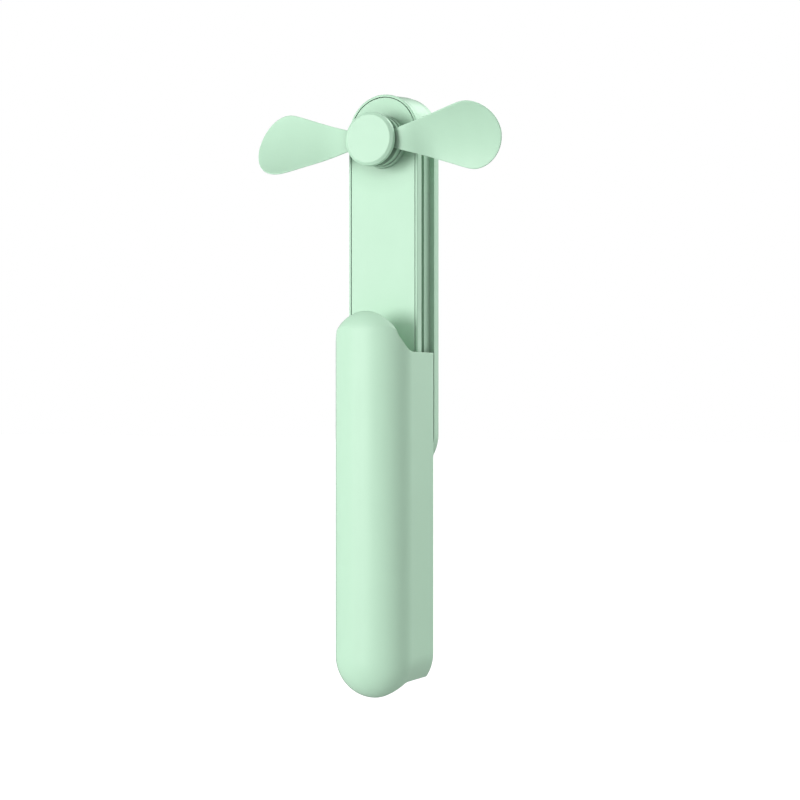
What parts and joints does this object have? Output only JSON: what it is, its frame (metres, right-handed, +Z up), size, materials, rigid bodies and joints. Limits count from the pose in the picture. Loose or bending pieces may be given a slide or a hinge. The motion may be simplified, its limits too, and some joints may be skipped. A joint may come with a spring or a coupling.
{
  "type": "handheld electric fan",
  "caption": "Slim pocket electric fan with a stadium-shaped body, folding two-blade rotor and a crowned cover that slides down.",
  "frame": {"origin": "centre of the flat back face of the body", "axes": "+Z up along the body towards the rotor, -Y out of the front, +X to the right seen from the front"},
  "size_m": [0.1134, 0.039, 0.2546],
  "materials": {
    "mint_shell": "satin moulded",
    "mint_cover": "satin moulded",
    "mint_blade": "satin moulded",
    "acetal": "low-friction moulded",
    "steel": "ground",
    "zinc_steel": "zinc plated",
    "bronze": "sintered",
    "black_plastic": "moulded",
    "magnet": "ground",
    "copper": "enamelled winding",
    "cell_wrap": "shrink sleeve",
    "foam": "closed-cell foam",
    "board_green": "solder mask",
    "chip_black": "moulded",
    "clear_pipe": "frosted",
    "led_white": "clear",
    "wire_red": "insulation"
  },
  "bodies": {
    "body": {"rear_shell": "mint_shell", "front_frame": "mint_shell", "front_plate": "mint_shell", "case_screws": "zinc_steel", "motor_collar": "mint_shell", "motor_can": "steel", "motor_bushes": "bronze", "motor_end_cap": "black_plastic", "motor_magnets": "magnet", "battery_cell": "cell_wrap", "battery_pad": "foam", "circuit_board": "board_green", "controller_chip": "chip_black", "tact_switch": "black_plastic", "light_pipe": "clear_pipe", "indicator_led": "led_white", "usb_c_socket": "steel", "charge_board": "board_green", "motor_leads": "wire_red", "battery_leads": "wire_red"},
    "runners": {"cover_runners": "acetal"},
    "cover": {"sliding_cover": "mint_cover"},
    "rotor": {"hub_cap": "mint_blade", "rotor_base": "mint_blade", "blade_pins": "steel", "motor_shaft": "steel", "motor_armature": "copper"},
    "right_blade": {"blade_right": "mint_blade"},
    "left_blade": {"blade_left": "mint_blade"},
    "button": {"power_button": "mint_shell", "switch_plunger": "acetal"}
  },
  "joints": [
    {"name": "cover_slide", "type": "slide", "parent": "body", "child": "runners", "axis": [0, 0, 1], "range_m": [0, 0.077]},
    {"name": "cover_close", "type": "slide", "parent": "runners", "child": "cover", "axis": [0, 0, 1], "range_m": [0, 0.0157]},
    {"name": "rotor_spin", "type": "hinge", "parent": "body", "child": "rotor", "pos_m": [0, -0.0272, 0.0599], "axis": [0, 1, 0], "continuous": true},
    {"name": "right_blade_fold", "type": "hinge", "parent": "rotor", "child": "right_blade", "pos_m": [0.0055, -0.0272, 0.0599], "axis": [0, 1, 0], "range_deg": [0, 98.5]},
    {"name": "left_blade_fold", "type": "hinge", "parent": "rotor", "child": "left_blade", "pos_m": [-0.0055, -0.0272, 0.0599], "axis": [0, -1, 0], "range_deg": [0, 94.7]},
    {"name": "power_button_press", "type": "slide", "parent": "body", "child": "button", "axis": [0, -1, 0], "range_m": [0, 0.0004]}
  ]
}
